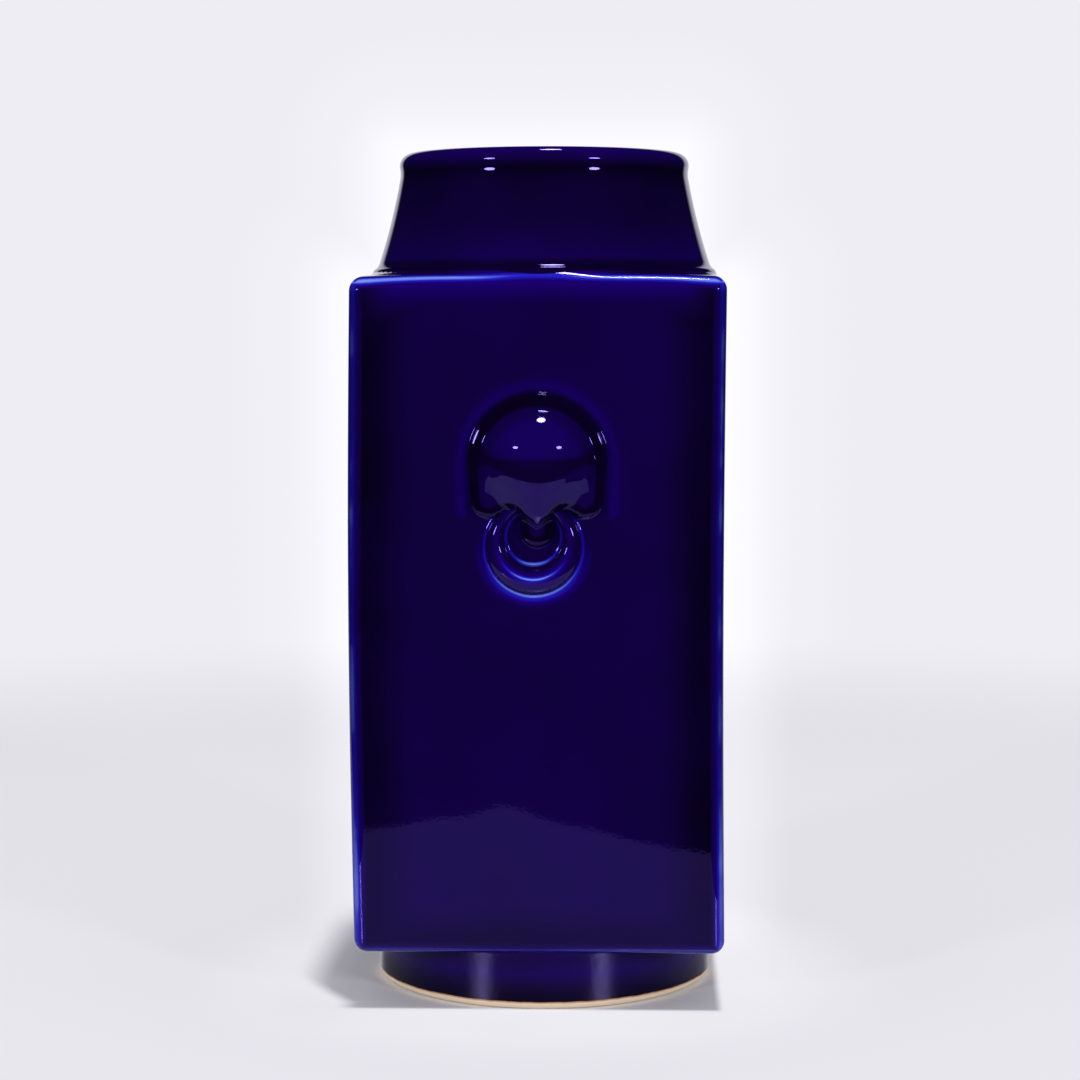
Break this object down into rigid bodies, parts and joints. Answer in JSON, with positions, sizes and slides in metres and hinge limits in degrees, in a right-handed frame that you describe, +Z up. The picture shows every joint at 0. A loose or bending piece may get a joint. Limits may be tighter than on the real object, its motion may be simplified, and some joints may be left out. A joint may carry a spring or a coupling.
{
  "type": "cong vase",
  "caption": "Square cong-shaped vase in deep blue glazed porcelain, with a round tapering neck, a round foot ring and a moulded mask holding a fixed ring on opposite faces.",
  "frame": {"origin": "centre of the plane that the foot ring rests on", "axes": "+Z up along the vase, -Y towards the front face with its mask, +X to the right seen from the front"},
  "size_m": [0.1244, 0.1504, 0.29],
  "materials": {
    "blue_glaze": "glossy deep cobalt blue glaze, thinning to light blue along edges",
    "foot_glaze": "satin cobalt blue glaze that stops above a bare buff rim with a thin orange line",
    "inner_glaze": "clear glaze over white porcelain"
  },
  "bodies": {
    "root": {"front_wall": "blue_glaze", "back_wall": "blue_glaze", "left_wall": "blue_glaze", "right_wall": "blue_glaze", "floor_slab": "blue_glaze", "shoulder_slab": "blue_glaze", "neck": "blue_glaze", "foot_ring": "foot_glaze", "front_mask": "blue_glaze", "front_ring": "blue_glaze", "back_mask": "blue_glaze", "back_ring": "blue_glaze", "corner_coil_front_left": "inner_glaze", "corner_coil_front_right": "inner_glaze", "corner_coil_back_left": "inner_glaze", "corner_coil_back_right": "inner_glaze", "floor_coil_front": "inner_glaze", "floor_coil_right": "inner_glaze", "floor_coil_back": "inner_glaze", "floor_coil_left": "inner_glaze", "shoulder_coil_front": "inner_glaze", "shoulder_coil_right": "inner_glaze", "shoulder_coil_back": "inner_glaze", "shoulder_coil_left": "inner_glaze"}
  },
  "joints": []
}
